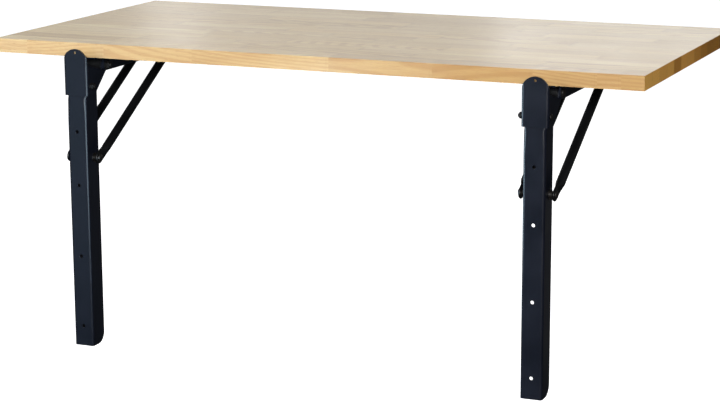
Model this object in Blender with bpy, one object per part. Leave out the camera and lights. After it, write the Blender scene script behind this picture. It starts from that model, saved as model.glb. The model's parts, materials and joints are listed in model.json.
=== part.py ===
"""Wall-mounted fold-down table: a butcher-block top on two folding steel brackets.

Frame: X along the top's length, Y away from the wall, Z up. The origin is on the wall plane,
midway between the brackets, level with the top's upper surface. The object is modelled open,
ready for use; "left" is -X.
"""
import math

import bmesh
import bpy
from mathutils import Matrix, Vector

MM = 0.001
GAP = 0.3 * MM  # clearance between pieces that touch

# Table top
TOP_LENGTH = 1200 * MM
TOP_DEPTH = 600 * MM
TOP_THICK = 25 * MM
TOP_FROM_WALL = 20 * MM
TOP_EDGE_R = 2.4 * MM

# Brackets
BRACKET_X = 425 * MM  # half the spacing of the two brackets

# Wall channel, a U section with its web on the wall
CHANNEL_HALF_W = 19.3 * MM
CHANNEL_FRONT = 40 * MM
CHANNEL_THICK = 2.5 * MM
CHANNEL_BEND_R = 4.5 * MM
CHANNEL_TOP_Z = -60 * MM
CHANNEL_BOTTOM_Z = -550 * MM
CHANNEL_TOE_R = 20 * MM
JOGGLE_Z = (-99 * MM, -92.5 * MM)  # the web steps forward here to pass behind the sleeve's web
JOGGLE_STEP = 3.1 * MM
WALL_HOLES_Z = (-156.5 * MM, -253.5 * MM, -383.5 * MM, -513.5 * MM)
WALL_HOLE_R = 3.25 * MM

# Hinge sleeve, a deeper U section with two ears that carry the arm's pivot
SLEEVE_HALF_W = 23.5 * MM
SLEEVE_THICK = 2.8 * MM
SLEEVE_BEND_R = 4.5 * MM
SLEEVE_TOP_Z = -8.5 * MM
SLEEVE_BOTTOM_Z = -91.5 * MM
SLEEVE_BOTTOM_Y = 26 * MM
EAR_NOSE_R = 9.5 * MM
EAR_FRONT_SLOPE = math.radians(43.5)
EAR_VALLEY = (52 * MM, -50.5 * MM)
EAR_BACK = (5.5 * MM, -37.5 * MM)
SLEEVE_EYE_Z = -15 * MM
SLEEVE_EYE_R = 2.4 * MM
SLEEVE_BOLT = (13.5 * MM, -75 * MM)  # Y and Z of the bolt that ties the sleeve to the channel

# Arm, a U section that opens downward under the top
ARM_PIVOT = (65 * MM, -43.5 * MM)  # Y and Z of the folding axis
ARM_HALF_W = 26.3 * MM
ARM_THICK = 2.5 * MM
ARM_BEND_R = 4 * MM
ARM_TOP_Z = -TOP_THICK - GAP
ARM_LOW_Z = -53.5 * MM
ARM_BACK_Y = 24 * MM
ARM_FRONT_Y = 570 * MM
ARM_FRONT_LOW_Z = -40.5 * MM
ARM_TAPER_Y = 345 * MM
ARM_END_R = 10 * MM
ARM_SCREWS_Y = (105 * MM, 205 * MM, 400 * MM, 520 * MM)

# Strut, one round bar bent into a bail that straddles the channel and props the arm
STRUT_PIVOT = (24 * MM, -205 * MM)  # Y and Z of its lower axis
STRUT_ANGLE = math.radians(30.5)
STRUT_LENGTH = 305 * MM
STRUT_R = 8 * MM
STRUT_HALF_W = 30 * MM
STRUT_HEAD_BEND_R = 14 * MM
FOOT_R = 11 * MM  # each leg's end is pressed flat where the rivet goes through it
FOOT_THICK = 4 * MM
FOOT_IN_X = 27 * MM
FOOT_FLAT = 7 * MM
FOOT_RUN = 22 * MM
SEAT_R = 8.9 * MM  # seat in the arm's flanges for the strut's crossbar
SEAT_RAMP = math.radians(27)

# Fasteners. Domed heads are (radius, height); nuts are (half the width across flats, height)
PIVOT_BOLT_R = 4 * MM
PIVOT_HEAD = (7.6 * MM, 3.4 * MM)
PIVOT_NUT = (6.5 * MM, 6.2 * MM)
PIVOT_SPACER_R = 11 * MM
SLEEVE_BOLT_R = 3 * MM
SLEEVE_HEAD = (5.6 * MM, 2.6 * MM)
SLEEVE_NUT = (5 * MM, 4.8 * MM)
SLEEVE_WASHER_R = 6.5 * MM
BOLT_END = 2.4 * MM  # a bolt's end past its nut
STRUT_RIVET_R = 4 * MM
STRUT_HEAD = (7 * MM, 3.2 * MM)
STRUT_TAIL = (6.2 * MM, 1.8 * MM)
STRUT_BUSH_R = (9 * MM, 6.4 * MM)  # its rim on the channel's flange, and its barrel
WASHER_THICK = 1 * MM
SCREW_R = 2.1 * MM
SCREW_LENGTH = 17.5 * MM


def clear_scene():
    for obj in list(bpy.data.objects):
        bpy.data.objects.remove(obj)


def material(name, colour, metallic, roughness):
    made = bpy.data.materials.new(name)
    made.use_nodes = True
    shader = made.node_tree.nodes["Principled BSDF"]
    shader.inputs["Base Color"].default_value = (*colour, 1)
    shader.inputs["Metallic"].default_value = metallic
    shader.inputs["Roughness"].default_value = roughness
    return made


def put(name, mesh, look, pivot=(0, 0, 0)):
    """Adds a mesh built in world space as an object whose origin is at pivot."""
    shift = Vector(pivot)
    bmesh.ops.recalc_face_normals(mesh, faces=mesh.faces[:])
    bmesh.ops.translate(mesh, verts=mesh.verts[:], vec=-shift)
    data = bpy.data.meshes.new(name)
    mesh.to_mesh(data)
    mesh.free()
    obj = bpy.data.objects.new(name, data)
    obj.location = shift
    bpy.context.scene.collection.objects.link(obj)
    if look is None:
        obj.hide_render = True
        obj.display_type = "WIRE"
    else:
        data.materials.append(
            material(name + "_look", look["colour"], look["metallic"], look["roughness"])
        )
        if look["smooth"]:
            data.shade_smooth()
            data.set_sharp_from_angle(angle=math.radians(35))
    return obj


def loft(rings, closed=False, strip_caps=False):
    """Joins rings of equal length. strip_caps closes a U section's ends with quads."""
    mesh = bmesh.new()
    rows = [[mesh.verts.new(p) for p in ring] for ring in rings]
    count = len(rings[0])
    pairs = list(zip(rows, rows[1:]))
    if closed:
        pairs.append((rows[-1], rows[0]))
    for low, high in pairs:
        for i in range(count):
            j = (i + 1) % count
            mesh.faces.new((low[i], low[j], high[j], high[i]))
    if closed:
        return mesh
    for row in (rows[0], rows[-1]):
        if strip_caps:
            for i in range(count // 2 - 1):
                mesh.faces.new((row[i], row[i + 1], row[count - 2 - i], row[count - 1 - i]))
        else:
            mesh.faces.new(row)
    return mesh


def arc(centre, radius, start, end, steps):
    """Points on an arc in a plane, from one angle in degrees to another."""
    angles = [math.radians(start + (end - start) * i / steps) for i in range(steps + 1)]
    return [(centre[0] + radius * math.cos(a), centre[1] + radius * math.sin(a)) for a in angles]


def u_section(half_w, back, front, thick, bend_r):
    """Outline of a U section: its web at back, its flanges reaching to front."""
    left = (-half_w + bend_r, back + bend_r)
    right = (half_w - bend_r, back + bend_r)
    outer = [(-half_w, front), *arc(left, bend_r, 180, 270, 4)]
    outer += [*arc(right, bend_r, 270, 360, 4), (half_w, front)]
    small = bend_r - thick
    inner = [(-half_w + thick, front), *arc(left, small, 180, 270, 4)]
    inner += [*arc(right, small, 270, 360, 4), (half_w - thick, front)]
    return outer + inner[::-1]


def prism(outline, place, low, high):
    """A flat outline pushed along the third axis. place turns (a, b, c) into a point."""
    return loft([[place(a, b, c) for a, b in outline] for c in (low, high)])


def along_x(a, b, c):
    return (c, a, b)


def along_y(a, b, c):
    return (a, c, b)


def along_z(a, b, c):
    return (a, b, c)


def turned(profile, place, centre, count=18, hollow=False):
    """A turned piece: profile lists (position on the axis, radius)."""
    rings = []
    for at, radius in profile:
        ring = arc(centre, radius, 0, 360 * (count - 1) / count, count - 1)
        rings.append([place(a, b, at) for a, b in ring])
    return loft(rings, closed=hollow)


def merged(parts):
    """Several separate meshes as one, for a cutter that makes several holes."""
    mesh = bmesh.new()
    for part in parts:
        data = bpy.data.meshes.new("piece")
        part.to_mesh(data)
        part.free()
        mesh.from_mesh(data)
        bpy.data.meshes.remove(data)
    return mesh


def shape(obj, cutter_mesh, operation):
    cutter = put(obj.name + "_" + operation.lower(), cutter_mesh, None)
    modifier = obj.modifiers.new(operation.title(), "BOOLEAN")
    modifier.operation = operation
    modifier.solver = "EXACT"
    modifier.object = cutter


def hole(place, centre, radius, low, high, count=18):
    return turned([(low, radius), (high, radius)], place, centre, count)


def moved(mesh, x):
    bmesh.ops.translate(mesh, verts=mesh.verts[:], vec=(x, 0, 0))
    return mesh


BLACK = {"colour": (0.018, 0.019, 0.023), "metallic": 0.0, "roughness": 0.42, "smooth": True}
BLACKENED = {"colour": (0.035, 0.034, 0.034), "metallic": 1.0, "roughness": 0.38, "smooth": True}
ZINC = {"colour": (0.52, 0.53, 0.55), "metallic": 1.0, "roughness": 0.35, "smooth": True}
WOOD = {"colour": (0.66, 0.50, 0.31), "metallic": 0.0, "roughness": 0.45, "smooth": False}

FOLD_AXIS = (0, *ARM_PIVOT)


def table_top():
    mesh = bmesh.new()
    bmesh.ops.create_cube(mesh, size=1)
    size = Matrix.Diagonal((TOP_LENGTH, TOP_DEPTH, TOP_THICK, 1))
    centre = Vector((0, TOP_FROM_WALL + TOP_DEPTH / 2, -TOP_THICK / 2))
    bmesh.ops.transform(mesh, matrix=Matrix.Translation(centre) @ size, verts=mesh.verts[:])
    bmesh.ops.bevel(
        mesh, geom=mesh.edges[:], offset=TOP_EDGE_R, segments=3, profile=0.5, affect="EDGES"
    )
    top = put("table_top", mesh, WOOD, FOLD_AXIS)
    tip = ARM_TOP_Z - ARM_THICK - GAP + SCREW_LENGTH + 1.5 * MM
    drills = [
        hole(along_z, (side * BRACKET_X, y), SCREW_R + 0.4 * MM, -TOP_THICK - MM, tip, 12)
        for side in (-1, 1)
        for y in ARM_SCREWS_Y
    ]
    shape(top, merged(drills), "DIFFERENCE")


def wall_channel(side, x):
    rings = []
    for degrees in range(90, -1, -15):
        a = math.radians(degrees)
        z = CHANNEL_BOTTOM_Z + CHANNEL_TOE_R * (1 - math.sin(a))
        front = CHANNEL_FRONT - CHANNEL_TOE_R * (1 - math.cos(a))
        rings.append((z, 0, front, CHANNEL_BEND_R))
    rings += [
        (JOGGLE_Z[0] - 36 * MM, 0, CHANNEL_FRONT, CHANNEL_BEND_R),
        (JOGGLE_Z[0], 0, CHANNEL_FRONT, CHANNEL_BEND_R + 2 * MM),
        (JOGGLE_Z[1], JOGGLE_STEP, CHANNEL_FRONT, CHANNEL_BEND_R),
        (CHANNEL_TOP_Z, JOGGLE_STEP, CHANNEL_FRONT, CHANNEL_BEND_R),
    ]
    mesh = loft(
        [
            [
                (x + a, b, z)
                for a, b in u_section(CHANNEL_HALF_W, back, front, CHANNEL_THICK, bend)
            ]
            for z, back, front, bend in rings
        ],
        strip_caps=True,
    )
    channel = put("wall_channel_" + side, mesh, BLACK, (x, 0, 0))
    holes = [hole(along_y, (x, z), WALL_HOLE_R, -MM, 8 * MM) for z in WALL_HOLES_Z]
    reach = CHANNEL_HALF_W + MM
    holes.append(hole(along_x, STRUT_PIVOT, STRUT_RIVET_R + GAP, x - reach, x + reach))
    holes.append(hole(along_x, SLEEVE_BOLT, SLEEVE_BOLT_R + GAP, x - reach, x + reach))
    shape(channel, merged(holes), "DIFFERENCE")


def sleeve_side_outline():
    """Side view of the sleeve as (Y, Z), anticlockwise from its lower wall corner."""
    slope = math.degrees(EAR_FRONT_SLOPE)
    nose = arc(ARM_PIVOT, EAR_NOSE_R, slope - 90, 180, 9)
    run = (nose[0][1] - SLEEVE_BOTTOM_Z) / math.tan(EAR_FRONT_SLOPE)
    foot = nose[0][0] - run
    points = [(-MM, SLEEVE_BOTTOM_Z), (foot - 5 * MM, SLEEVE_BOTTOM_Z)]
    points += [
        (foot - 1.5 * MM, SLEEVE_BOTTOM_Z + 0.6 * MM),
        (foot + 3 * MM, SLEEVE_BOTTOM_Z + 3.6 * MM),
    ]
    points += nose
    points += [
        (nose[-1][0], EAR_VALLEY[1] + 3.5 * MM),
        (EAR_VALLEY[0] + 2.3 * MM, EAR_VALLEY[1] + 0.9 * MM),
        (EAR_VALLEY[0] - MM, EAR_VALLEY[1] + 0.6 * MM),
        (EAR_BACK[0] + 2 * MM, EAR_BACK[1] - 0.3 * MM),
        (EAR_BACK[0] - 0.6 * MM, EAR_BACK[1] + 1.8 * MM),
        (SLEEVE_THICK + 0.4 * MM, EAR_BACK[1] + 6 * MM),
        (SLEEVE_THICK + 0.4 * MM, SLEEVE_TOP_Z + MM),
        (-MM, SLEEVE_TOP_Z + MM),
    ]
    return points


def hinge_sleeve(side, x):
    front = ARM_PIVOT[0] + EAR_NOSE_R + 2 * MM
    section = u_section(SLEEVE_HALF_W, 0, front, SLEEVE_THICK, SLEEVE_BEND_R)
    ends = (SLEEVE_BOTTOM_Z - MM, SLEEVE_TOP_Z + MM)
    mesh = loft([[(x + a, b, z) for a, b in section] for z in ends], strip_caps=True)
    sleeve = put("hinge_sleeve_" + side, mesh, BLACK, (x, 0, 0))
    outline = sleeve_side_outline()
    reach = SLEEVE_HALF_W + 2 * MM
    shape(sleeve, prism(outline, along_x, x - reach, x + reach), "INTERSECT")
    crown_r = SLEEVE_HALF_W + 0.02 * MM
    crown = arc((x, SLEEVE_TOP_Z - crown_r), crown_r, 0, 180, 20)
    crown = [(x + crown_r, SLEEVE_BOTTOM_Z - 5 * MM), *crown]
    crown.append((x - crown_r, SLEEVE_BOTTOM_Z - 5 * MM))
    shape(sleeve, prism(crown, along_y, -2 * MM, front + 2 * MM), "INTERSECT")
    holes = [
        hole(along_y, (x, SLEEVE_EYE_Z), SLEEVE_EYE_R, -MM, 6 * MM, 16),
        hole(along_x, ARM_PIVOT, PIVOT_BOLT_R + GAP, x - reach, x + reach),
        hole(along_x, SLEEVE_BOLT, SLEEVE_BOLT_R + GAP, x - reach, x + reach),
    ]
    shape(sleeve, merged(holes), "DIFFERENCE")


def arm_side_outline():
    """Side view of the arm as (Y, Z), anticlockwise from the back of its web."""
    web_low = ARM_TOP_Z - ARM_THICK - 0.7 * MM
    end = ARM_PIVOT[0] - ARM_END_R
    points = [(ARM_BACK_Y, ARM_TOP_Z + MM), (ARM_BACK_Y, web_low), (end, web_low)]
    points += arc(ARM_PIVOT, ARM_END_R, 180, 270, 6)
    head = (
        STRUT_PIVOT[0] + STRUT_LENGTH * math.cos(STRUT_ANGLE),
        STRUT_PIVOT[1] + STRUT_LENGTH * math.sin(STRUT_ANGLE),
    )
    seat = arc(head, SEAT_R, 90 + math.degrees(STRUT_ANGLE), 90 - math.degrees(SEAT_RAMP), 6)
    back_run = (seat[0][1] - ARM_LOW_Z) / math.tan(STRUT_ANGLE)
    ramp_run = (seat[-1][1] - ARM_LOW_Z) / math.tan(SEAT_RAMP)
    points += [(seat[0][0] - back_run, ARM_LOW_Z), *seat, (seat[-1][0] + ramp_run, ARM_LOW_Z)]
    points += [(ARM_TAPER_Y, ARM_LOW_Z)]
    points += arc((ARM_FRONT_Y - 8 * MM, ARM_FRONT_LOW_Z + 8 * MM), 8 * MM, 270, 360, 4)
    points += [(ARM_FRONT_Y, ARM_TOP_Z + MM)]
    return points


def arm(side, x):
    section = u_section(ARM_HALF_W, 0, ARM_TOP_Z - ARM_LOW_Z + MM, ARM_THICK, ARM_BEND_R)
    ends = (ARM_BACK_Y - MM, ARM_FRONT_Y + MM)
    mesh = loft([[(x + a, y, ARM_TOP_Z - b) for a, b in section] for y in ends], strip_caps=True)
    made = put("arm_" + side, mesh, BLACK, (x, *ARM_PIVOT))
    reach = ARM_HALF_W + MM
    shape(made, prism(arm_side_outline(), along_x, x - reach, x + reach), "INTERSECT")
    holes = [hole(along_x, ARM_PIVOT, PIVOT_BOLT_R + GAP, x - reach, x + reach)]
    low, high = ARM_TOP_Z - ARM_THICK - MM, ARM_TOP_Z + MM
    holes += [hole(along_z, (x, y), SCREW_R + 0.5 * MM, low, high, 12) for y in ARM_SCREWS_Y]
    shape(made, merged(holes), "DIFFERENCE")


def bar_section(thick, wide):
    """Sixteen points round the bar: a circle where its halves are equal, a round-edged strip where flat."""
    straight, half_root = wide - thick, math.sqrt(0.5)
    strip = [(thick, straight * share) for share in (0, 0.5, 1)]
    strip += [(thick * half_root, straight + thick * half_root), (0, wide)]
    oval = arc((0, 0), 1, 0, 90, 4)
    round_share = min(1, max(0, (thick / wide - 0.2) / 0.8))
    quarter = [
        (a + (thick * c - a) * round_share, b + (wide * d - b) * round_share)
        for (a, b), (c, d) in zip(strip, oval)
    ]
    half = [*quarter, *((-a, b) for a, b in reversed(quarter[:-1]))]
    return [*half[:-1], *((-a, -b) for a, b in half[:-1])]


def eased(share):
    return share * share * (3 - 2 * share)


def leg_stations():
    """From the foot's tip up: distance from the lower axis, place across, half thickness, half width."""
    flat_x = FOOT_IN_X + FOOT_THICK / 2
    stations = []
    for degrees in (76, 62, 46, 30, 15, 0):
        turn = math.radians(degrees)
        stations.append((-FOOT_R * math.sin(turn), flat_x, FOOT_THICK / 2, FOOT_R * math.cos(turn)))
    stations.append((FOOT_FLAT, flat_x, FOOT_THICK / 2, FOOT_R))
    for step in range(1, 7):
        share = eased(step / 6)
        stations.append(
            (
                FOOT_FLAT + FOOT_RUN * step / 6,
                flat_x + (STRUT_HALF_W - flat_x) * share,
                FOOT_THICK / 2 + (STRUT_R - FOOT_THICK / 2) * share,
                FOOT_R + (STRUT_R - FOOT_R) * share,
            )
        )
    return stations


def strut(side, x):
    """The bail lies in one plane: up one leg, across, down the other, both pressed flat at the foot."""
    head_r = STRUT_HEAD_BEND_R
    foot = [(a, s, thick, wide) for s, a, thick, wide in leg_stations()]
    top = arc((STRUT_HALF_W - head_r, STRUT_LENGTH - head_r), head_r, 0, 90, 6)
    path = foot + [(a, s, STRUT_R, STRUT_R) for a, s in top]
    path += [(-a, s, thick, wide) for a, s, thick, wide in reversed(path)]
    up = Vector((0, math.cos(STRUT_ANGLE), math.sin(STRUT_ANGLE)))
    across = Vector((1, 0, 0))
    normal = across.cross(up)
    base = Vector((x, *STRUT_PIVOT))
    rings = []
    for i, (a, s, thick, wide) in enumerate(path):
        before, after = path[max(i - 1, 0)], path[min(i + 1, len(path) - 1)]
        heading = up * (1 if a > 0 else -1)
        if s > STRUT_LENGTH / 2:
            heading = (across * (after[0] - before[0]) + up * (after[1] - before[1])).normalized()
        side_way = heading.cross(normal)
        centre = base + across * a + up * s
        rings.append([centre + side_way * p + normal * q for p, q in bar_section(thick, wide)])
    bail = put("strut_bail_" + side, loft(rings), BLACK, base)
    reach = STRUT_HALF_W + STRUT_R
    for low, high in ((x - reach, x - CHANNEL_HALF_W), (x + CHANNEL_HALF_W, x + reach)):
        shape(bail, hole(along_x, STRUT_PIVOT, STRUT_RIVET_R + GAP, low, high), "DIFFERENCE")


def washer(name, centre, low, high, inner, outer, pivot):
    profile = [(low, inner), (low, outer), (high, outer), (high, inner)]
    put(name, turned(profile, along_x, centre, hollow=True), BLACKENED, pivot)


def nut(name, centre, low, high, bore, across, pivot):
    """A hex nut along X; across is half its width over the flats."""
    sector = math.pi / 3
    angles = [2 * math.pi * i / 24 for i in range(24)]
    corner = across / math.cos(sector / 2)
    chamfer = 0.09 * (high - low)
    rings = []
    for at, limit in (
        (low, 0),
        (low, 0.94 * corner),
        (low + chamfer, corner),
        (high - chamfer, corner),
        (high, 0.94 * corner),
        (high, 0),
    ):
        ring = []
        for angle in angles:
            hexagon = across / math.cos((angle + sector / 2) % sector - sector / 2)
            radius = min(hexagon, limit) if limit else bore
            y, z = centre[0] + radius * math.cos(angle), centre[1] + radius * math.sin(angle)
            ring.append((at, y, z))
        rings.append(ring)
    put(name, loft(rings, closed=True), BLACKENED, pivot)


def domed(face, radius, height):
    """Profile of a domed head from its bearing face outwards; a negative height turns it round."""
    shares = ((0, 1), (0.22, 0.985), (0.52, 0.86), (0.78, 0.62), (0.94, 0.34), (1, 0.1))
    return [(face + height * up, radius * out) for up, out in shares]


def bolt(name, centre, head_face, end, radius, head, pivot):
    """A bolt along X with a domed head; its shank runs from the head's face to its end."""
    way = 1 if end > head_face else -1
    profile = list(reversed(domed(head_face, head[0], -way * head[1])))
    profile += [(head_face, radius), (end - way * 0.2 * radius, radius), (end, 0.75 * radius)]
    put(name, turned(profile, along_x, centre), BLACKENED, pivot)


def rivet(name, centre, low, high, shank, heads, pivot):
    """A rivet along X, domed on each face; heads are (radius, height) at its low and high ends."""
    (low_r, low_h), (high_r, high_h) = heads
    profile = list(reversed(domed(low, low_r, -low_h)))
    profile += [(low, shank), (high, shank)]
    profile += domed(high, high_r, high_h)
    put(name, turned(profile, along_x, centre), BLACKENED, pivot)


def inward(side):
    """The way along X from a bracket towards the other one, where its nuts are."""
    return 1 if side == "left" else -1


def pivot_set(side, x):
    """Bolt, nut, washers and spacer of the arm's pivot."""
    pivot, way = (x, *ARM_PIVOT), inward(side)
    face = ARM_HALF_W + GAP
    bore = PIVOT_BOLT_R + GAP
    for low, mark in ((x - face - WASHER_THICK, "a"), (x + face, "b")):
        name = f"pivot_washer_{side}_{mark}"
        washer(name, ARM_PIVOT, low, low + WASHER_THICK, bore, 8.6 * MM, pivot)
    seat = face + WASHER_THICK + GAP
    across, height = PIVOT_NUT
    ends = sorted((x + way * seat, x + way * (seat + height)))
    nut("pivot_nut_" + side, ARM_PIVOT, *ends, bore, across, pivot)
    end = x + way * (seat + height + BOLT_END)
    bolt("pivot_bolt_" + side, ARM_PIVOT, x - way * seat, end, PIVOT_BOLT_R, PIVOT_HEAD, pivot)
    inside = SLEEVE_HALF_W - SLEEVE_THICK - GAP
    spacer = "pivot_spacer_" + side
    washer(spacer, ARM_PIVOT, x - inside, x + inside, bore, PIVOT_SPACER_R, pivot)


def sleeve_bolt(side, x):
    """Bolt, nut and washer that tie the sleeve to the channel."""
    pivot, way = (x, *SLEEVE_BOLT), inward(side)
    face = SLEEVE_HALF_W + GAP
    bore = SLEEVE_BOLT_R + GAP
    seat = face + WASHER_THICK + GAP
    across, height = SLEEVE_NUT
    ends = sorted((x + way * face, x + way * (face + WASHER_THICK)))
    washer("sleeve_washer_" + side, SLEEVE_BOLT, *ends, bore, SLEEVE_WASHER_R, pivot)
    ends = sorted((x + way * seat, x + way * (seat + height)))
    nut("sleeve_nut_" + side, SLEEVE_BOLT, *ends, bore, across, pivot)
    end = x + way * (seat + height + BOLT_END)
    bolt("sleeve_bolt_" + side, SLEEVE_BOLT, x - way * face, end, SLEEVE_BOLT_R, SLEEVE_HEAD, pivot)


def strut_pivot_set(side, x):
    """Rivets and flanged bushes of the strut's lower axis, one of each on either side of the channel."""
    pivot = (x, *STRUT_PIVOT)
    face = CHANNEL_HALF_W + GAP
    inner = CHANNEL_HALF_W - CHANNEL_THICK - GAP
    outer = FOOT_IN_X + FOOT_THICK + GAP
    bore = STRUT_RIVET_R + GAP
    rim, barrel = STRUT_BUSH_R
    for way, mark in ((-1, "a"), (1, "b")):
        step, end = x + way * (face + WASHER_THICK), x + way * (FOOT_IN_X - GAP)
        profile = [(x + way * face, bore), (x + way * face, rim), (step, rim)]
        profile += [(step, barrel), (end, barrel), (end, bore)]
        bush = turned(profile, along_x, STRUT_PIVOT, hollow=True)
        put(f"strut_bush_{side}_{mark}", bush, BLACKENED, pivot)
        ends = sorted((x + way * inner, x + way * outer))
        heads = (STRUT_TAIL, STRUT_HEAD)[::way]
        name = f"strut_rivet_{side}_{mark}"
        rivet(name, STRUT_PIVOT, ends[0], ends[1], STRUT_RIVET_R, heads, pivot)


def arm_screws(side, x):
    """Pan-head screws that hold the top on the arm."""
    under = ARM_TOP_Z - ARM_THICK - GAP
    profile = [
        (under - 2.8 * MM, 1.6 * MM),
        (under - 2.5 * MM, 3 * MM),
        (under - 1.5 * MM, 4.1 * MM),
        (under - 0.3 * MM, 4.4 * MM),
        (under, 4.3 * MM),
        (under, SCREW_R),
        (under + SCREW_LENGTH - 4 * MM, SCREW_R),
        (under + SCREW_LENGTH, 0.4 * MM),
    ]
    for number, y in enumerate(ARM_SCREWS_Y, 1):
        mesh = turned(profile, along_z, (x, y), 12)
        put(f"arm_screw_{side}_{number}", mesh, ZINC, FOLD_AXIS)


def main():
    clear_scene()
    table_top()
    for side, x in (("left", -BRACKET_X), ("right", BRACKET_X)):
        wall_channel(side, x)
        hinge_sleeve(side, x)
        sleeve_bolt(side, x)
        arm(side, x)
        pivot_set(side, x)
        arm_screws(side, x)
        strut(side, x)
        strut_pivot_set(side, x)


main()
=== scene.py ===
"""Looks of the wall-mounted fold-down table: a finger-jointed rubberwood board on folding steel brackets.

Metres, +X along the board, +Y away from the wall, +Z up. The origin is on the wall plane, level with
the board's upper surface. "Left" is -X.
"""

import json
import math
import random

import bmesh
import bpy
from mathutils import Matrix, Vector


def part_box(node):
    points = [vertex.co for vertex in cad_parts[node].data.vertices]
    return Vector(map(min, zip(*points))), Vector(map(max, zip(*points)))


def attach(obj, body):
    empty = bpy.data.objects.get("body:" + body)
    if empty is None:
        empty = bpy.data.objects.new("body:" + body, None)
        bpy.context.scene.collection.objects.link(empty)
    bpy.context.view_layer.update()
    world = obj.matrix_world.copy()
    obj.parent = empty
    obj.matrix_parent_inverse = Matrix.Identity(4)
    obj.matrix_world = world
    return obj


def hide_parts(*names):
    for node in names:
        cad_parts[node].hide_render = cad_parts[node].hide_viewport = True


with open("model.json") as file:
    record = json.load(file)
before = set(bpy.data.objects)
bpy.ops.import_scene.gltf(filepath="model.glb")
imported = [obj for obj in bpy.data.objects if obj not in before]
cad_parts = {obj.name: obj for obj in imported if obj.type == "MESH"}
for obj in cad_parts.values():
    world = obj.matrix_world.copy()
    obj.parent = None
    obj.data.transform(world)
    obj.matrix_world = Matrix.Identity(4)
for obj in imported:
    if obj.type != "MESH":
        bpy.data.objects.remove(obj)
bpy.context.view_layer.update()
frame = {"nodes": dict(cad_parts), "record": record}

MM = 0.001

# ---------------------------------------------------------------- board
STAVES = 13  # glued side by side across the board
BLOCK_SHORTEST, BLOCK_LONGEST = 0.150, 0.330  # blocks joined end to end in a stave
FINGER_LENGTH, FINGER_PITCH = 0.0045, 0.0060
EDGE_ROUND = 2.3 * MM
CORNER = 1.0  # radians between two faces of an edge of the board that is rounded
SAME_POINT, DECIMALS = 1e-6, 7  # corners of neighbouring blocks meet when they agree to this, in metres
EDGE_STAVE_JOINTS = (0.055, 0.185, 0.330, 0.545, 0.700, 0.845, 0.935, 0.968)  # wall side, shares of length
BOARD_SEED = 11
RING_SPACING = 5.8 * MM
PITH_NEAREST, PITH_FARTHEST = 0.02, 0.11  # from the middle of a block to the centre of its growth rings
PITH_LEANS = 0.035, 0.085  # spread of the pith's slopes against the block, across and through the board
PATTERN_SHIFT = 9.0  # each block takes its streaks and pores from another place, up to this far away
END_STRIPE_SPREAD = 0.27  # of one stave's end from the even painted shade that darkens the end faces towards the room
GLUE_LINE = 0.22 * MM, 0.62 * MM  # half widths: fully dark, and faded out
FINGER_LINE = 0.3 * MM, 1.0 * MM

# Wood colours; a pair runs from a block of cool tone to one of warm tone
PALE_WOOD = (0.93, 0.78, 0.44), (0.91, 0.72, 0.36)
DARK_WOOD = (0.69, 0.51, 0.24), (0.62, 0.43, 0.17)
PALE_VEIN, DARK_VEIN = (0.60, 0.37, 0.165), (0.42, 0.235, 0.085)
BRUSHED_WOOD = (0.50, 0.29, 0.12)
FIBRE_BROWN = (0.56, 0.34, 0.15)
PORE_BROWN = (0.25, 0.125, 0.050)
END_RING_BROWN = (0.22, 0.105, 0.035)
END_PORE_BROWN = (0.10, 0.05, 0.02)
SEAM_BROWN = (0.22, 0.105, 0.038)
# End-face colours by stave, wall side first: the even darkening towards the room is painted shade, the
# spread between staves is their own stripes
END_STRIPES_AND_SHADE = (
    (0.0, (0.95, 0.52, 0.12)),
    (0.33, (0.85, 0.42, 0.09)),
    (0.5, (0.60, 0.27, 0.045)),
    (0.8, (0.46, 0.21, 0.035)),
    (1.0, (0.28, 0.12, 0.02)),
)

# ---------------------------------------------------------------- steel
# A pair of colours runs with the coat's clouds or spots
# the blue cast of the coat's black is a painted reflection of cool light on the webs
COAT_BLACK = (0.0034, 0.0045, 0.0085), (0.0050, 0.0064, 0.0118)
BAR_BLACK = (0.0025, 0.0026, 0.0030), (0.0045, 0.0047, 0.0052)
COAT_ROUGHNESS, BAR_ROUGHNESS = 0.28, 0.30  # where the coat is glossiest
BLACKENED = (0.013, 0.0125, 0.012), (0.030, 0.027, 0.025)
ZINC, ZINC_TURNED = ((0.62, 0.60, 0.55), (0.46, 0.44, 0.40)), (0.30, 0.29, 0.27)
EASED_ABOVE = 38  # degrees between two faces of an edge that is eased
EASED_BY = {"wall_channel": 0.45 * MM, "hinge_sleeve": 0.5 * MM, "arm": 0.5 * MM}
FASTENER_EASED_BY = 0.15 * MM

# ---------------------------------------------------------------- camera
CAMERA_AT = (1.4513, -3.1509, 0.5132)
CAMERA_TURN, CAMERA_DIP, CAMERA_ROLL = 22.918, 12.446, -0.235  # degrees
CAMERA_LENS, SENSOR = 104.05, 36.0

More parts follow.
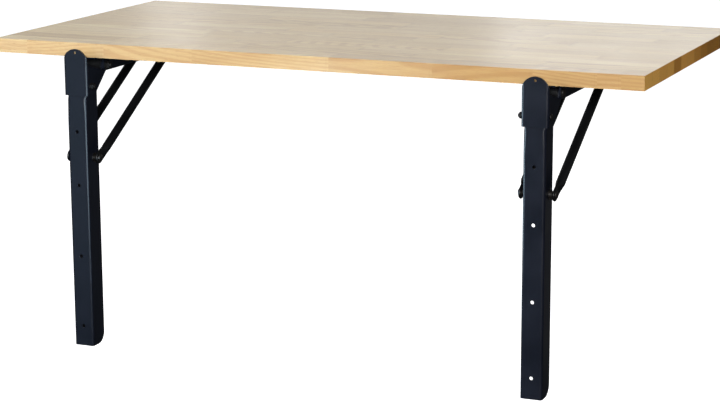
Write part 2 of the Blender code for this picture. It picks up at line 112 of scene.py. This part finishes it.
# ---------------------------------------------------------------- studio
FLOOR, ROOF, REACH = -1.6, 24.0, 28.0
WORLD_RISE = -0.05, 0.45  # heights of a direction between which the sky brightens
WORLD_BELOW, WORLD_ABOVE = 0.012, 0.16  # how bright it is under and over them
WHITE, COOL, BLUER = (1.0, 1.0, 1.0), (0.62, 0.84, 1.0), (0.56, 0.80, 1.0)
LIGHTS = (
    # name, place, aim, size, power, colour, lights surfaces, shows in reflections
    ("key", (1.75, -4.15, 1.05), (0.1, 0.0, -0.05), (2.0, 1.4), 305.0, WHITE, True, True),
    ("left_key", (-3.2, -1.6, 0.45), (-0.45, 0.2, -0.05), (1.6, 1.6), 135.0, WHITE, True, False),
    ("joggle_card", (-2.2, -1.9, 1.7), (-0.425, 0.0, -0.1), (1.2, 1.2), 20.0, COOL, False, True),
    ("far_left", (-6.75, 7.0, 1.5), (-0.4, 0.3, 0.0), (5.5, 3.0), 44.0, WHITE, True, True),
    ("far_middle", (-3.0, 7.0, 1.5), (0.0, 0.3, 0.0), (2.0, 3.0), 19.0, WHITE, True, True),
    ("far_right", (-0.6, 7.0, 1.5), (0.4, 0.3, 0.0), (2.8, 3.0), 43.0, WHITE, True, True),
    ("left_bend_card", (0.06, -0.66, -0.28), (-0.89, -0.36, -0.20), (0.9, 0.34), 12.0, COOL, False, True),
    ("right_bend_card", (-0.143, -0.244, -0.27), (0.405, 0.0, -0.2), (0.34, 0.34), 6.0, COOL, False, True),
    ("cool_card", (-1.95, -2.6, -0.55), (-0.425, 0.0, -0.2), (1.0, 1.2), 6.5, BLUER, False, True),
    ("low_card", (2.2, 4.6, -1.55), (0.3, 0.0, -0.5), (2.0, 0.8), 0.5, WHITE, False, True),
)


# ================================================================ shader helpers
class Tree:
    """A material's node tree, with short calls for the nodes used here."""

    def __init__(self, name):
        self.material = bpy.data.materials.new(name)
        self.material.use_nodes = True
        self.tree = self.material.node_tree
        self.tree.nodes.clear()
        surface = self.tree.nodes.new("ShaderNodeOutputMaterial").inputs["Surface"]
        self.shader = self.tree.nodes.new("ShaderNodeBsdfPrincipled")
        self.tree.links.new(self.shader.outputs[0], surface)

    def set(self, socket, value):
        if isinstance(value, bpy.types.NodeSocket):
            self.tree.links.new(value, socket)
        elif value is not None:
            socket.default_value = value

    def node(self, kind, **settings):
        n = self.tree.nodes.new(kind)
        for key, value in settings.items():
            setattr(n, key, value)
        return n

    def math(self, operation, a, b=None):
        n = self.node("ShaderNodeMath", operation=operation)
        for socket, value in zip(n.inputs, (a, b)):
            self.set(socket, value)
        return n.outputs[0]

    def parts(self, vector):
        n = self.node("ShaderNodeSeparateXYZ")
        self.set(n.inputs[0], vector)
        return n.outputs

    def place(self):
        return self.node("ShaderNodeTexCoord").outputs["Object"]

    def scaled(self, vector, scale):
        n = self.node("ShaderNodeMapping")
        self.set(n.inputs["Vector"], vector)
        n.inputs["Scale"].default_value = scale
        return n.outputs[0]

    def noise(self, vector, scale, detail=2.0, roughness=0.5):
        n = self.node("ShaderNodeTexNoise")
        self.set(n.inputs["Vector"], vector)
        self.set(n.inputs["Scale"], scale)
        n.inputs["Detail"].default_value = detail
        n.inputs["Roughness"].default_value = roughness
        return n.outputs["Fac"]

    def attribute(self, name):
        return self.node("ShaderNodeAttribute", attribute_name=name, attribute_type="GEOMETRY").outputs

    def ramp(self, value, stops):
        n = self.node("ShaderNodeValToRGB")
        self.set(n.inputs[0], value)
        ramp = n.color_ramp
        while len(ramp.elements) < len(stops):
            ramp.elements.new(0.5)
        for element, (at, colour) in zip(ramp.elements, stops):
            element.position = at
            element.color = (*colour, 1.0)
        return n.outputs[0]

    def span(self, value, low, high, to_low=0.0, to_high=1.0):
        """A smooth step of value from low to high, given as to_low to to_high."""
        n = self.node("ShaderNodeMapRange", interpolation_type="SMOOTHSTEP")
        for socket, v in zip(n.inputs, (value, low, high, to_low, to_high)):
            self.set(socket, v)
        return n.outputs[0]

    def blend(self, factor, a, b):
        n = self.node("ShaderNodeMix", data_type="RGBA")
        self.set(n.inputs[0], factor)
        for socket, value in ((n.inputs[6], a), (n.inputs[7], b)):
            self.set(socket, (*value, 1.0) if isinstance(value, tuple) else value)
        return n.outputs[2]

    def bump(self, height, distance, strength):
        n = self.node("ShaderNodeBump")
        self.set(n.inputs["Height"], height)
        n.inputs["Distance"].default_value = distance
        n.inputs["Strength"].default_value = strength
        return n.outputs[0]

    def finish(self, **sockets):
        for name, value in sockets.items():
            self.set(self.shader.inputs[name.replace("_", " ")], value)
        return self.material


# ================================================================ materials
def rubberwood():
    """Pale finger-jointed rubberwood under satin varnish.

    Every block has its own tone, ring centre and grain offset, from the attributes of its faces. Along the
    stave by the wall the tone also carries painted shade, and the end faces darken evenly towards the room
    as painted shade.
    """
    t = Tree("rubberwood")
    place = t.place()
    x, y, z = t.parts(place)
    tone = t.attribute("block_tone_and_shade")["Fac"]
    warmth = t.attribute("block_warmth")["Fac"]
    shift = t.attribute("block_shift")["Vector"]
    pith_x, pith_y, pith_z = t.parts(t.attribute("block_pith")["Vector"])
    lean_x, lean_y, _ = t.parts(t.attribute("block_lean")["Vector"])
    end_grain = t.attribute("end_grain")["Fac"]
    start = t.attribute("block_start")["Fac"]
    stop = t.attribute("block_stop")["Fac"]

    moved = t.node("ShaderNodeVectorMath", operation="ADD")
    t.set(moved.inputs[0], place)
    t.set(moved.inputs[1], shift)
    own = moved.outputs[0]

    # growth rings: tubes round a pith line that leans a little against the block
    along = t.math("SUBTRACT", x, pith_x)
    across = t.math("ADD", t.math("SUBTRACT", y, pith_y), t.math("MULTIPLY", along, lean_x))
    depth = t.math("ADD", t.math("SUBTRACT", z, pith_z), t.math("MULTIPLY", along, lean_y))
    squares = t.math("ADD", t.math("MULTIPLY", across, across), t.math("MULTIPLY", depth, depth))
    radius = t.math("SQRT", squares)
    sway = t.noise(t.scaled(own, (3.5, 22.0, 22.0)), 1.0, detail=2.0)
    radius = t.math("ADD", radius, t.math("MULTIPLY", sway, 0.014))
    ring = t.math("SINE", t.math("MULTIPLY", radius, 2 * math.pi / RING_SPACING))
    ring = t.span(ring, -1.0, 1.0)
    broad = t.noise(t.scaled(own, (5.0, 60.0, 60.0)), 1.0, detail=3.0, roughness=0.55)

    # fibre streaks and open pores, long along the block
    fibre = t.noise(t.scaled(own, (26.0, 620.0, 620.0)), 1.0, detail=3.0, roughness=0.6)
    pores = t.noise(t.scaled(own, (95.0, 1500.0, 1500.0)), 1.0, detail=1.0)
    pores = t.span(pores, 0.60, 0.74)
    end_pores = t.span(t.noise(own, 1300.0, detail=1.0), 0.60, 0.72)
    long_grain = t.math("SUBTRACT", 1.0, end_grain)
    pores = t.math("ADD", t.math("MULTIPLY", pores, long_grain), t.math("MULTIPLY", end_pores, end_grain))

    pale = t.blend(warmth, *PALE_WOOD)
    dark = t.blend(warmth, *DARK_WOOD)
    # tone also holds painted shade along the stave by the wall
    colour = t.blend(tone, pale, dark)
    streak = t.math("ADD", t.math("MULTIPLY", ring, 0.45), t.math("MULTIPLY", broad, 0.55))
    streak = t.span(streak, 0.36, 0.78)
    brushed = t.noise(t.scaled(own, (4.0, 85.0, 85.0)), 1.0, detail=4.0, roughness=0.65)
    colour = t.blend(t.math("MULTIPLY", t.span(brushed, 0.46, 0.70), 0.42), colour, BRUSHED_WOOD)
    strength = t.span(tone, 0.0, 0.6, 0.34, 0.60)
    vein = t.blend(tone, PALE_VEIN, DARK_VEIN)
    colour = t.blend(t.math("MULTIPLY", streak, strength), colour, vein)
    strength = t.span(tone, 0.0, 0.5, 0.34, 0.50)
    colour = t.blend(t.math("MULTIPLY", t.span(fibre, 0.42, 0.74), strength), colour, FIBRE_BROWN)
    colour = t.blend(t.math("MULTIPLY", pores, 0.40), colour, PORE_BROWN)

    # end grain drinks more varnish and reads darker, each stave in its own stripe; across the end face the
    # colour also darkens evenly from the wall side to the room side, which is painted shade
    end_colour = t.ramp(t.attribute("end_stripes_and_shade")["Fac"], END_STRIPES_AND_SHADE)
    end_colour = t.blend(t.math("MULTIPLY", ring, 0.30), end_colour, END_RING_BROWN)
    end_colour = t.blend(t.math("MULTIPLY", pores, 0.40), end_colour, END_PORE_BROWN)
    colour = t.blend(end_grain, colour, end_colour)

    # glue lines between staves, and the fingers between blocks
    stave = t.math("DIVIDE", t.math("SUBTRACT", y, BOARD_LOW.y), STAVE_WIDTH)
    off_line = t.math("ABSOLUTE", t.math("SUBTRACT", stave, t.math("ROUND", stave)))
    glue = t.span(t.math("MULTIPLY", off_line, STAVE_WIDTH), *GLUE_LINE, 1.0, 0.0)
    finger = t.math("PINGPONG", t.math("SUBTRACT", y, BOARD_LOW.y), STAVE_WIDTH / FINGERS / 2)
    finger = t.math("SUBTRACT", finger, STAVE_WIDTH / FINGERS / 4)
    finger = t.math("MULTIPLY", finger, FINGER_LENGTH * 4 * FINGERS / STAVE_WIDTH)
    near_start = t.math("ABSOLUTE", t.math("SUBTRACT", t.math("SUBTRACT", x, start), finger))
    near_stop = t.math("ABSOLUTE", t.math("SUBTRACT", t.math("SUBTRACT", x, stop), finger))
    seam = t.span(t.math("MINIMUM", near_start, near_stop), *FINGER_LINE, 1.0, 0.0)
    seam = t.math("MULTIPLY", seam, long_grain)
    line = t.math("MAXIMUM", t.math("MULTIPLY", glue, 0.55), t.math("MULTIPLY", seam, 0.62))
    colour = t.blend(line, colour, SEAM_BROWN)

    mottled = t.noise(place, 9.0, detail=3.0)
    rough = t.span(mottled, 0.3, 0.7, 0.02, 0.045)
    rough = t.math("ADD", rough, t.math("MULTIPLY", end_grain, 0.14))
    rough = t.math("ADD", rough, 0.26)
    rough = t.math("ADD", rough, t.math("MULTIPLY", pores, 0.08))
    sunk = t.math("ADD", t.math("MULTIPLY", pores, 0.5), t.math("MULTIPLY", line, 0.3))
    height = t.math("SUBTRACT", t.math("MULTIPLY", fibre, 0.30), sunk)
    return t.finish(
        Base_Color=colour,
        Roughness=rough,
        Normal=t.bump(height, 0.09 * MM, 0.45),
        IOR=1.47,
        Specular_IOR_Level=t.span(end_grain, 0.0, 1.0, 0.5, 0.2),
    )


def powder_coat(name, low, high, smoothest):
    """Satin black powder coat: faint orange peel, uneven gloss, fine grit and thin rubbed patches."""
    t = Tree(name)
    place = t.place()
    peel = t.noise(place, 420.0, detail=2.0, roughness=0.6)
    grit = t.noise(place, 1900.0, detail=2.0)
    cloud = t.noise(place, 14.0, detail=3.0)
    scuffs = t.noise(t.scaled(place, (160.0, 160.0, 12.0)), 1.0, detail=4.0, roughness=0.7)
    scuffs = t.math("MULTIPLY", t.span(scuffs, 0.66, 0.80), t.span(cloud, 0.45, 0.65))
    colour = t.blend(t.span(cloud, 0.3, 0.7), low, high)
    dusty, rubbed = tuple(2.2 * v for v in high), tuple(3.5 * v for v in high)
    colour = t.blend(t.math("MULTIPLY", t.span(grit, 0.55, 0.75), 0.2), colour, dusty)
    colour = t.blend(t.math("MULTIPLY", scuffs, 0.25), colour, rubbed)
    rough = t.span(cloud, 0.3, 0.7, smoothest, smoothest + 0.07)
    rough = t.math("ADD", rough, t.math("MULTIPLY", grit, 0.05))
    rough = t.math("SUBTRACT", rough, t.math("MULTIPLY", scuffs, 0.08))
    height = t.math("ADD", peel, t.math("MULTIPLY", grit, 0.35))
    return t.finish(
        Base_Color=colour,
        Roughness=rough,
        Normal=t.bump(height, 0.07 * MM, 0.35),
        IOR=1.5,
        Specular_IOR_Level=0.27,
    )


def zinc():
    """Bright zinc plating with a slight straw tint, fine turning marks and duller spots."""
    t = Tree("zinc_plated_steel")
    place = t.place()
    turned = t.noise(t.scaled(place, (2600.0, 260.0, 260.0)), 1.0, detail=3.0)
    spots = t.noise(place, 620.0, detail=3.0)
    colour = t.blend(t.span(spots, 0.35, 0.7), *ZINC)
    colour = t.blend(t.math("MULTIPLY", t.span(turned, 0.5, 0.8), 0.3), colour, ZINC_TURNED)
    rough = t.math("ADD", t.span(spots, 0.3, 0.7, 0.24, 0.38), t.math("MULTIPLY", turned, 0.08))
    return t.finish(Base_Color=colour, Metallic=1.0, Roughness=rough, Normal=t.bump(turned, 0.03 * MM, 0.4))


def blackened():
    """Blackened steel of the bolts, rivets and washers: dark, half metallic, slightly brown and uneven."""
    t = Tree("blackened_steel")
    place = t.place()
    spots = t.noise(place, 540.0, detail=3.0)
    struck = t.noise(place, 1500.0, detail=2.0)
    colour = t.blend(t.span(spots, 0.35, 0.7), *BLACKENED)
    rough = t.span(spots, 0.3, 0.7, 0.30, 0.44)
    return t.finish(
        Base_Color=colour,
        Metallic=0.6,
        Roughness=rough,
        Normal=t.bump(struck, 0.06 * MM, 0.5),
        IOR=1.5,
    )


def plain_stage(name):
    t = Tree(name)
    grain = t.noise(t.place(), 3.0, detail=2.0)
    pale = t.blend(grain, (0.90, 0.90, 0.90), (0.93, 0.93, 0.93))
    return t.finish(
        Base_Color=pale,
        Roughness=0.9,
        Specular_IOR_Level=0.0,
        Emission_Color=(1.0, 1.0, 1.0, 1.0),
        Emission_Strength=1.0,
    )


# ================================================================ board
BOARD_LOW, BOARD_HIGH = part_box("table_top")
STAVE_WIDTH = (BOARD_HIGH.y - BOARD_LOW.y) / STAVES
FINGERS = max(2, round(STAVE_WIDTH / FINGER_PITCH))


WOOD_NUMBERS = ("block_tone_and_shade", "block_warmth", "block_start", "block_stop", "end_grain", "end_stripes_and_shade")
WOOD_VECTORS = ("block_shift", "block_pith", "block_lean")


def stave_joints(rng, number):
    """Where the blocks of a stave meet, from end to end of the board."""
    low, high = BOARD_LOW.x, BOARD_HIGH.x
    if number == 0:
        return [low, *(low + share * (high - low) for share in EDGE_STAVE_JOINTS), high]
    joints = [low]
    at = low + rng.uniform(0.35, 1.0) * BLOCK_LONGEST
    while at < high - BLOCK_SHORTEST * 0.5:
        joints.append(at)
        at += rng.uniform(BLOCK_SHORTEST, BLOCK_LONGEST)
    return [*joints, high]


def finger_points(number, at):
    """The comb line of a joint across one stave, with its two ends on the stave's glue lines."""
    y0 = BOARD_LOW.y + number * STAVE_WIDTH
    points = []
    for k in range(2 * FINGERS + 1):
        side = 1 if k % 2 else -1
        reach = FINGER_LENGTH * side if 0 < k < 2 * FINGERS else 0.0
        points.append((at + reach, y0 + k * STAVE_WIDTH / (2 * FINGERS)))
    return points


def block_tone_and_shade(rng, number, middle):
    """0 for the palest wood, 1 for the darkest. The stave by the wall darkens from left to right, partly a
    change in the wood and partly painted shade for light falling off to the right.
    """
    drift = rng.random()
    if number > 0:
        return 0.2 + 0.5 * drift
    along = (middle - BOARD_LOW.x) / (BOARD_HIGH.x - BOARD_LOW.x)
    return min(1.0, 0.9 * along + 0.35 * drift * (0.3 + along))


def board_mesh():
    """The board as one closed box, its faces divided block by block, each block carrying its own wood."""
    rng = random.Random(BOARD_SEED)
    joints = [stave_joints(rng, n) for n in range(STAVES)]
    borders = []
    for n in range(STAVES + 1):
        near = joints[n - 1] if n > 0 else []
        far = joints[n] if n < STAVES else []
        borders.append(sorted({round(v, DECIMALS) for v in [*near, *far]}))

    bm = bmesh.new()
    layers = {name: bm.faces.layers.float.new(name) for name in WOOD_NUMBERS}
    vectors = {name: bm.faces.layers.float_vector.new(name) for name in WOOD_VECTORS}
    made = {}

    def vert(x, y, z):
        key = (round(x, DECIMALS), round(y, DECIMALS), round(z, DECIMALS))
        if key not in made:
            made[key] = bm.verts.new(key)
        return made[key]

    def face(points, wood, ends=0.0):
        f = bm.faces.new([vert(*p) for p in points])
        for name, value in wood.items():
            f[(vectors if name in vectors else layers)[name]] = value
        f[layers["end_grain"]] = ends

    top, under = BOARD_HIGH.z, BOARD_LOW.z

    def upright(one, other):
        return [(*one, under), (*other, under), (*other, top), (*one, top)]

    for n in range(STAVES):
        y0, y1 = BOARD_LOW.y + n * STAVE_WIDTH, BOARD_LOW.y + (n + 1) * STAVE_WIDTH
        for start, stop in zip(joints[n], joints[n][1:]):
            first, last = start == joints[n][0], stop == joints[n][-1]
            swing = rng.uniform(0, 2 * math.pi)
            reach = rng.uniform(PITH_NEAREST, PITH_FARTHEST)
            middle = (start + stop) / 2
            wood = {
                "block_tone_and_shade": block_tone_and_shade(rng, n, middle),
                # the even darkening with the stave's number is painted shade; the random spread is the
                # stave's own stripe
                "end_stripes_and_shade": n / (STAVES - 1) + rng.uniform(-END_STRIPE_SPREAD, END_STRIPE_SPREAD),
                "block_warmth": rng.random(),
                "block_start": start if not first else start - 1.0,  # out of reach: no joint at an end
                "block_stop": stop if not last else stop + 1.0,
                "block_shift": Vector([rng.uniform(-PATTERN_SHIFT, PATTERN_SHIFT) for _ in range(3)]),
                "block_pith": Vector(
                    (
                        middle,
                        (y0 + y1) / 2 + reach * math.cos(swing),
                        (top + under) / 2 + reach * math.sin(swing),
                    )
                ),
                "block_lean": Vector((*(rng.gauss(0, spread) for spread in PITH_LEANS), 0.0)),
            }
            left = [(start, y0), (start, y1)] if first else finger_points(n, start)
            right = [(stop, y0), (stop, y1)] if last else finger_points(n, stop)
            inside = start + SAME_POINT, stop - SAME_POINT
            lower = [(v, y0) for v in borders[n] if inside[0] < v < inside[1]]
            upper = [(v, y1) for v in borders[n + 1] if inside[0] < v < inside[1]]
            outline = [left[0], *lower, *right, *reversed(upper), *reversed(left[1:])]
            face([(px, py, top) for px, py in outline], wood)
            face([(px, py, under) for px, py in reversed(outline)], wood)
            if n == 0:
                face(upright((start, y0), (stop, y0)), wood)
            if n == STAVES - 1:
                face(upright((stop, y1), (start, y1)), wood)
            if first:
                face(upright((start, y1), (start, y0)), wood, 1.0)
            if last:
                face(upright((stop, y0), (stop, y1)), wood, 1.0)
    sharp = [e for e in bm.edges if len(e.link_faces) == 2 and e.calc_face_angle() > CORNER]
    bmesh.ops.bevel(
        bm, geom=sharp, offset=EDGE_ROUND, segments=5, profile=0.5, affect="EDGES", clamp_overlap=False
    )
    for f in bm.faces:
        f.smooth = True
    mesh = bpy.data.meshes.new("board")
    bm.to_mesh(mesh)
    bm.free()
    mesh.set_sharp_from_angle(angle=math.radians(40))
    return mesh


def shown(name, mesh, material, body, slot, *nodes):
    piece = bpy.data.objects.new(name, mesh)
    bpy.context.scene.collection.objects.link(piece)
    mesh.materials.clear()
    mesh.materials.append(material)
    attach(piece, body)
    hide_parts(*nodes)
    return piece


def keep_normals_flat(piece):
    """Large flat faces keep their own direction; only the small faces of a bend or an edge turn."""
    smooth = piece.modifiers.new("weighted", "WEIGHTED_NORMAL")
    smooth.mode = "FACE_AREA"
    smooth.keep_sharp = True
    smooth.weight = 100


# ================================================================ steel pieces
def eased_copy(node, edge):
    """A CAD solid's shape with its sharp edges eased by edge and its bends shaded round."""
    bm = bmesh.new()
    bm.from_mesh(frame["nodes"][node].data)
    bmesh.ops.remove_doubles(bm, verts=bm.verts, dist=2e-6)
    bmesh.ops.dissolve_limit(bm, angle_limit=math.radians(0.4), verts=bm.verts, edges=bm.edges)
    bmesh.ops.recalc_face_normals(bm, faces=bm.faces)
    if edge:
        pairs = [e for e in bm.edges if len(e.link_faces) == 2]
        sharp = [e for e in pairs if e.calc_face_angle() > math.radians(EASED_ABOVE)]
        bmesh.ops.bevel(
            bm, geom=sharp, offset=edge, segments=2, profile=0.5, affect="EDGES", clamp_overlap=True
        )
    for f in bm.faces:
        f.smooth = True
    mesh = bpy.data.meshes.new(node + "_eased")
    bm.to_mesh(mesh)
    bm.free()
    mesh.set_sharp_from_angle(angle=math.radians(50))
    return mesh


def dress_steel(finishes, bar_and_shade_finish):
    """Every CAD steel node gets its eased stand-in and the finish of its slot.

    The struts have a deeper black; the spacers between the ears take the same black as painted shade for
    the shadow between the ears.
    """
    slots = {part["node"]: part["material_slot"] for part in frame["record"]["subparts"]}
    for body, nodes in frame["record"]["behaviour"]["bodies"].items():
        for node in nodes:
            slot = slots[node]
            if slot not in finishes:
                continue
            family = node.rsplit("_", 1)[0]
            edge = EASED_BY.get(family, 0.0) if slot == "black_powder_coat" else FASTENER_EASED_BY
            mesh = eased_copy(node, edge)
            # on the spacers this deeper black is painted shade between the ears; on the struts it is their
            # own finish
            finish = bar_and_shade_finish if family in ("strut_bail", "pivot_spacer") else finishes[slot]
            keep_normals_flat(shown(node + "_finished", mesh, finish, body, slot, node))


# ================================================================ studio
def stage_piece(name, points, faces, material):
    """Part of the set: the camera sees it, and it throws no light on the table."""
    mesh = bpy.data.meshes.new(name)
    mesh.from_pydata(points, [], faces)
    mesh.materials.append(material)
    piece = bpy.data.objects.new(name, mesh)
    bpy.context.scene.collection.objects.link(piece)
    piece.visible_diffuse = piece.visible_glossy = piece.visible_transmission = piece.visible_shadow = False


def studio():
    """A white floor and backdrop, a dim sky, and the lights."""
    square = [(-REACH, -REACH), (REACH, -REACH), (REACH, REACH), (-REACH, REACH)]
    ground = [(x, y, FLOOR) for x, y in square]
    stage_piece("studio_floor", ground, [(0, 1, 2, 3)], plain_stage("studio_floor"))
    walls = ground + [(x, y, ROOF) for x, y in square]
    sides = [(0, 4, 5, 1), (1, 5, 6, 2), (2, 6, 7, 3), (3, 7, 4, 0), (4, 7, 6, 5)]
    stage_piece("studio_backdrop", walls, sides, plain_stage("studio_backdrop"))

    world = bpy.data.worlds.new("studio")
    bpy.context.scene.world = world
    world.use_nodes = True
    tree = world.node_tree
    direction = tree.nodes.new("ShaderNodeTexCoord")
    parts = tree.nodes.new("ShaderNodeSeparateXYZ")
    ramp = tree.nodes.new("ShaderNodeMapRange")
    tree.links.new(direction.outputs["Generated"], parts.inputs[0])
    tree.links.new(parts.outputs["Z"], ramp.inputs[0])
    for socket, value in zip(ramp.inputs[1:5], (*WORLD_RISE, WORLD_BELOW, WORLD_ABOVE)):
        socket.default_value = value
    tree.links.new(ramp.outputs[0], tree.nodes["Background"].inputs["Strength"])
    tree.nodes["Background"].inputs["Color"].default_value = (0.96, 0.98, 1.0, 1.0)

    for name, at, aim, size, watts, colour, diffuse, glossy in LIGHTS:
        data = bpy.data.lights.new(name, "AREA")
        data.shape = "RECTANGLE"
        data.size, data.size_y = size
        data.energy = watts
        data.color = colour
        lamp = bpy.data.objects.new(name, data)
        bpy.context.scene.collection.objects.link(lamp)
        lamp.visible_camera = False
        lamp.visible_diffuse, lamp.visible_glossy = diffuse, glossy
        lamp.location = at
        lamp.rotation_euler = (Vector(aim) - Vector(at)).to_track_quat("-Z", "Y").to_euler()


def camera():
    data = bpy.data.cameras.new("camera")
    data.lens, data.sensor_width = CAMERA_LENS, SENSOR
    data.clip_start, data.clip_end = 0.05, 200
    eye = bpy.data.objects.new("camera", data)
    bpy.context.scene.collection.objects.link(eye)
    eye.location = CAMERA_AT
    turn, tilt, roll = (
        Matrix.Rotation(math.radians(angle), 3, axis)
        for angle, axis in ((CAMERA_TURN, "Z"), (90 - CAMERA_DIP, "X"), (CAMERA_ROLL, "Z"))
    )
    eye.rotation_euler = (turn @ tilt @ roll).to_euler()
    bpy.context.scene.camera = eye


board = shown("butcher_block_board", board_mesh(), rubberwood(), "table", "rubberwood", "table_top")
keep_normals_flat(board)
finishes = {
    "black_powder_coat": powder_coat("black_powder_coat", *COAT_BLACK, COAT_ROUGHNESS),
    "blackened_steel": blackened(),
    "zinc_plated_steel": zinc(),
}
# this black also serves as painted shade on the spacers between the ears
dress_steel(finishes, powder_coat("black_bar_coat_and_spacer_shade", *BAR_BLACK, BAR_ROUGHNESS))
studio()
camera()
bpy.context.scene.view_settings.view_transform = "Standard"
bpy.context.scene.view_settings.look = "None"
